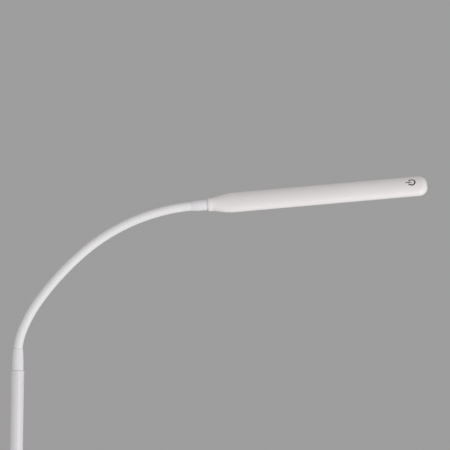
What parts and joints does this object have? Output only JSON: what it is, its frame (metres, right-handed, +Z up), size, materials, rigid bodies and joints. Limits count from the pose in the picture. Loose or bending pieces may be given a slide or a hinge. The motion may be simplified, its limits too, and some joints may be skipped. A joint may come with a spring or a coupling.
{
  "type": "gooseneck reading floor lamp",
  "caption": "Free-standing reading lamp: round weighted base, straight pole, bendable sleeved neck and a slim rounded bar head with a touch key and a long diffuser.",
  "frame": {"origin": "centre of the base's underside, on the floor under the pole's axis", "axes": "+Z up along the pole, +X from the pole towards the head, -Y the side that the head's top is turned to at rest"},
  "size_m": [0.7252, 0.24, 1.3582],
  "materials": {
    "cover_paint": "satin white powder coat",
    "pole_paint": "satin white powder coat",
    "head_plastic": "fine satin",
    "tray_plastic": "fine satin",
    "sleeve_silicone": "smooth, slightly soft sheen",
    "cuff_rubber": "matte",
    "opal_acrylic": "opal, satin",
    "plain_steel": "turned",
    "hose_steel": "wound wire",
    "ballast_iron": "rough cast, primed",
    "pad_foam": "closed-cell foam",
    "black_plastic": "moulded",
    "contact_brass": "nickel flashed",
    "board_white": "solder mask",
    "board_green": "solder mask",
    "led_yellow": "phosphor",
    "heat_aluminium": "mill finish",
    "mark_grey": "printed inlay",
    "lead_white": "cable jacket"
  },
  "bodies": {
    "stand": {"base_pad": "pad_foam", "base_plate": "plain_steel", "base_plate_screws": "plain_steel", "base_ballast": "ballast_iron", "base_cover": "cover_paint", "dc_inlet_body": "black_plastic", "dc_inlet_pin": "contact_brass", "dc_inlet_nut": "plain_steel", "base_washer": "plain_steel", "base_nut": "plain_steel", "base_nipple": "plain_steel", "pole_foot_collar": "pole_paint", "pole_foot_insert": "plain_steel", "pole_lower": "pole_paint", "pole_middle": "pole_paint", "pole_upper": "pole_paint", "pole_joiner_lower": "plain_steel", "pole_joiner_upper": "plain_steel", "pole_top_collar": "pole_paint", "pole_lead": "lead_white", "neck_lower_ferrule": "plain_steel", "neck_lower_cuff": "cuff_rubber", "neck_stub": "hose_steel", "neck_sleeve": "sleeve_silicone", "neck_lead": "lead_white"},
    "neck_01": {"neck_link_01": "hose_steel"},
    "neck_02": {"neck_link_02": "hose_steel"},
    "neck_03": {"neck_link_03": "hose_steel"},
    "neck_04": {"neck_link_04": "hose_steel"},
    "neck_05": {"neck_link_05": "hose_steel"},
    "neck_06": {"neck_link_06": "hose_steel"},
    "neck_07": {"neck_link_07": "hose_steel"},
    "neck_08": {"neck_link_08": "hose_steel"},
    "neck_09": {"neck_link_09": "hose_steel"},
    "neck_10": {"neck_link_10": "hose_steel"},
    "neck_11": {"neck_link_11": "hose_steel"},
    "neck_12": {"neck_link_12": "hose_steel"},
    "neck_13": {"neck_link_13": "hose_steel"},
    "neck_14": {"neck_link_14": "hose_steel"},
    "neck_15": {"neck_link_15": "hose_steel"},
    "neck_16": {"neck_link_16": "hose_steel"},
    "neck_17": {"neck_link_17": "hose_steel"},
    "neck_end": {"neck_link_18": "hose_steel", "neck_upper_ferrule": "plain_steel", "neck_upper_cuff": "cuff_rubber", "swivel_nipple": "plain_steel", "swivel_washer": "tray_plastic"},
    "head": {"head_top_shell": "head_plastic", "head_bottom_shell": "tray_plastic", "diffuser": "opal_acrylic", "led_board": "board_white", "leds": "led_yellow", "heat_spreader": "heat_aluminium", "control_board": "board_green", "control_parts": "black_plastic", "touch_electrode": "contact_brass", "power_mark": "mark_grey", "head_screws": "plain_steel", "head_lead": "lead_white"}
  },
  "joints": [
    {"name": "neck_01_bend", "type": "hinge", "parent": "stand", "child": "neck_01", "pos_m": [0.00131, 0, 1.10236], "axis": [0, 1, 0], "range_deg": [-11.5, 5.5], "deforming": ["neck_sleeve", "neck_lead"]},
    {"name": "neck_02_bend", "type": "hinge", "parent": "neck_01", "child": "neck_02", "pos_m": [0.00667, 0, 1.12125], "axis": [0, 1, 0], "range_deg": [-11.5, 5.5], "deforming": ["neck_sleeve", "neck_lead"]},
    {"name": "neck_03_sway", "type": "hinge", "parent": "neck_02", "child": "neck_03", "pos_m": [0.01467, 0, 1.13921], "axis": [0.8926, 0, -0.4509], "range_deg": [-8, 8], "deforming": ["neck_sleeve", "neck_lead"]},
    {"name": "neck_04_bend", "type": "hinge", "parent": "neck_03", "child": "neck_04", "pos_m": [0.02438, 0, 1.15631], "axis": [0, 1, 0], "range_deg": [-11.5, 5.5], "deforming": ["neck_sleeve", "neck_lead"]},
    {"name": "neck_05_bend", "type": "hinge", "parent": "neck_04", "child": "neck_05", "pos_m": [0.03558, 0, 1.17247], "axis": [0, 1, 0], "range_deg": [-11.5, 5.5], "deforming": ["neck_sleeve", "neck_lead"]},
    {"name": "neck_06_sway", "type": "hinge", "parent": "neck_05", "child": "neck_06", "pos_m": [0.0476, 0, 1.18804], "axis": [0.7772, 0, -0.6293], "range_deg": [-8, 8], "deforming": ["neck_sleeve", "neck_lead"]},
    {"name": "neck_07_bend", "type": "hinge", "parent": "neck_06", "child": "neck_07", "pos_m": [0.06033, 0, 1.20303], "axis": [0, 1, 0], "range_deg": [-11.5, 5.5], "deforming": ["neck_sleeve", "neck_lead"]},
    {"name": "neck_08_bend", "type": "hinge", "parent": "neck_07", "child": "neck_08", "pos_m": [0.07374, 0, 1.21743], "axis": [0, 1, 0], "range_deg": [-11.5, 5.5], "deforming": ["neck_sleeve", "neck_lead"]},
    {"name": "neck_09_sway", "type": "hinge", "parent": "neck_08", "child": "neck_09", "pos_m": [0.08779, 0, 1.23119], "axis": [0.6804, 0, -0.7328], "range_deg": [-8, 8], "deforming": ["neck_sleeve", "neck_lead"]},
    {"name": "neck_10_bend", "type": "hinge", "parent": "neck_09", "child": "neck_10", "pos_m": [0.10255, 0, 1.24418], "axis": [0, 1, 0], "range_deg": [-10, 11], "deforming": ["neck_sleeve", "neck_lead"]},
    {"name": "neck_11_bend", "type": "hinge", "parent": "neck_10", "child": "neck_11", "pos_m": [0.11815, 0, 1.25615], "axis": [0, 1, 0], "range_deg": [-10, 11], "deforming": ["neck_sleeve", "neck_lead"]},
    {"name": "neck_12_sway", "type": "hinge", "parent": "neck_11", "child": "neck_12", "pos_m": [0.13453, 0, 1.26704], "axis": [0.5251, 0, -0.8511], "range_deg": [-8, 8], "deforming": ["neck_sleeve", "neck_lead"]},
    {"name": "neck_13_bend", "type": "hinge", "parent": "neck_12", "child": "neck_13", "pos_m": [0.15161, 0, 1.27679], "axis": [0, 1, 0], "range_deg": [-10, 11], "deforming": ["neck_sleeve", "neck_lead"]},
    {"name": "neck_14_bend", "type": "hinge", "parent": "neck_13", "child": "neck_14", "pos_m": [0.16931, 0, 1.28537], "axis": [0, 1, 0], "range_deg": [-10, 11], "deforming": ["neck_sleeve", "neck_lead"]},
    {"name": "neck_15_sway", "type": "hinge", "parent": "neck_14", "child": "neck_15", "pos_m": [0.18755, 0, 1.29272], "axis": [0.3423, 0, -0.9396], "range_deg": [-8, 8], "deforming": ["neck_sleeve", "neck_lead"]},
    {"name": "neck_16_bend", "type": "hinge", "parent": "neck_15", "child": "neck_16", "pos_m": [0.20625, 0, 1.29882], "axis": [0, 1, 0], "range_deg": [-10, 11], "deforming": ["neck_sleeve", "neck_lead"]},
    {"name": "neck_17_bend", "type": "hinge", "parent": "neck_16", "child": "neck_17", "pos_m": [0.22531, 0, 1.30364], "axis": [0, 1, 0], "range_deg": [-10, 11], "deforming": ["neck_sleeve", "neck_lead"]},
    {"name": "neck_18_sway", "type": "hinge", "parent": "neck_17", "child": "neck_end", "pos_m": [0.24466, 0, 1.30716], "axis": [0.1442, 0, -0.9896], "range_deg": [-8, 8], "deforming": ["neck_sleeve", "neck_lead"]},
    {"name": "head_swivel", "type": "hinge", "parent": "neck_end", "child": "head", "pos_m": [0.27799, 0, 1.3109], "axis": [0.9946, 0, 0.104], "range_deg": [-140, 40]}
  ]
}
